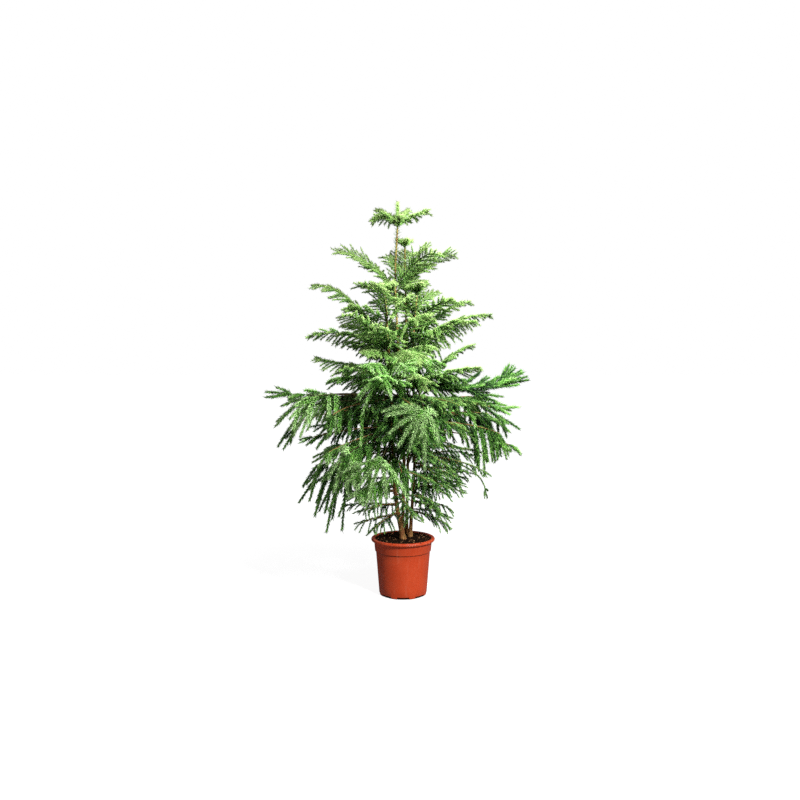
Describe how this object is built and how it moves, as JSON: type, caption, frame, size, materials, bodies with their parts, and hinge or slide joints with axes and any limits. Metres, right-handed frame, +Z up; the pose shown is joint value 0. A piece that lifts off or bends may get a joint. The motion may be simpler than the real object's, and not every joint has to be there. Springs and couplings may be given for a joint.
{
  "type": "potted norfolk island pine",
  "caption": "Young potted conifer: slender stems in a tapered nursery pot, with whorls of flat fronds that rise and arch over above and hang in long ropes of needles below. A decorative plant.",
  "frame": {"origin": "centre of the pot's flat underside", "axes": "+Z up along the pot's axis, -Y towards the viewer of the picture, +X to that viewer's right"},
  "size_m": [0.8649, 0.7856, 1.2853],
  "materials": {
    "pot_plastic": "satin terracotta-coloured plastic, slightly dusty",
    "peat": "coarse dark potting soil",
    "bark": "rough reddish brown bark",
    "young_needles": "soft bright green needles",
    "old_needles": "darker blue-green needles"
  },
  "bodies": {
    "root": {"pot": "pot_plastic", "soil": "peat", "tall_stem": "bark", "back_stem": "bark", "right_stem": "bark", "front_stem": "bark", "tall_tuft": "young_needles", "back_tuft": "young_needles", "right_tuft": "young_needles", "front_tuft": "young_needles", "tall_frond_1a": "young_needles", "tall_frond_1b": "young_needles", "tall_frond_1c": "young_needles", "tall_frond_1d": "young_needles", "tall_frond_2a": "old_needles", "tall_frond_2b": "old_needles", "tall_frond_2c": "old_needles", "tall_frond_2d": "old_needles", "tall_frond_3a": "old_needles", "tall_frond_3b": "old_needles", "tall_frond_3c": "old_needles", "back_frond_1a": "young_needles", "back_frond_1b": "young_needles", "back_frond_1c": "young_needles", "back_frond_2a": "old_needles", "back_frond_2b": "old_needles", "back_frond_2c": "old_needles", "back_frond_2d": "old_needles", "back_frond_3a": "old_needles", "back_frond_3b": "old_needles", "back_frond_3c": "old_needles", "right_frond_1a": "young_needles", "right_frond_2a": "young_needles", "right_frond_2b": "young_needles", "right_frond_3a": "old_needles", "right_frond_3b": "old_needles", "right_frond_3c": "old_needles", "right_frond_3d": "old_needles", "right_frond_4a": "old_needles", "right_frond_4b": "old_needles", "right_frond_4c": "old_needles", "right_frond_5a": "old_needles", "right_frond_5b": "old_needles", "right_frond_5c": "old_needles", "right_frond_6a": "old_needles", "right_frond_6b": "old_needles", "front_frond_1a": "young_needles", "front_frond_1b": "young_needles", "front_frond_2a": "young_needles", "front_frond_2b": "young_needles", "front_frond_2c": "young_needles", "front_frond_3a": "old_needles", "front_frond_3b": "old_needles", "front_frond_3c": "old_needles", "front_frond_3d": "old_needles", "front_frond_4a": "old_needles", "front_frond_4b": "old_needles", "front_frond_5a": "old_needles", "front_frond_6a": "old_needles", "front_frond_6b": "old_needles"}
  },
  "joints": []
}
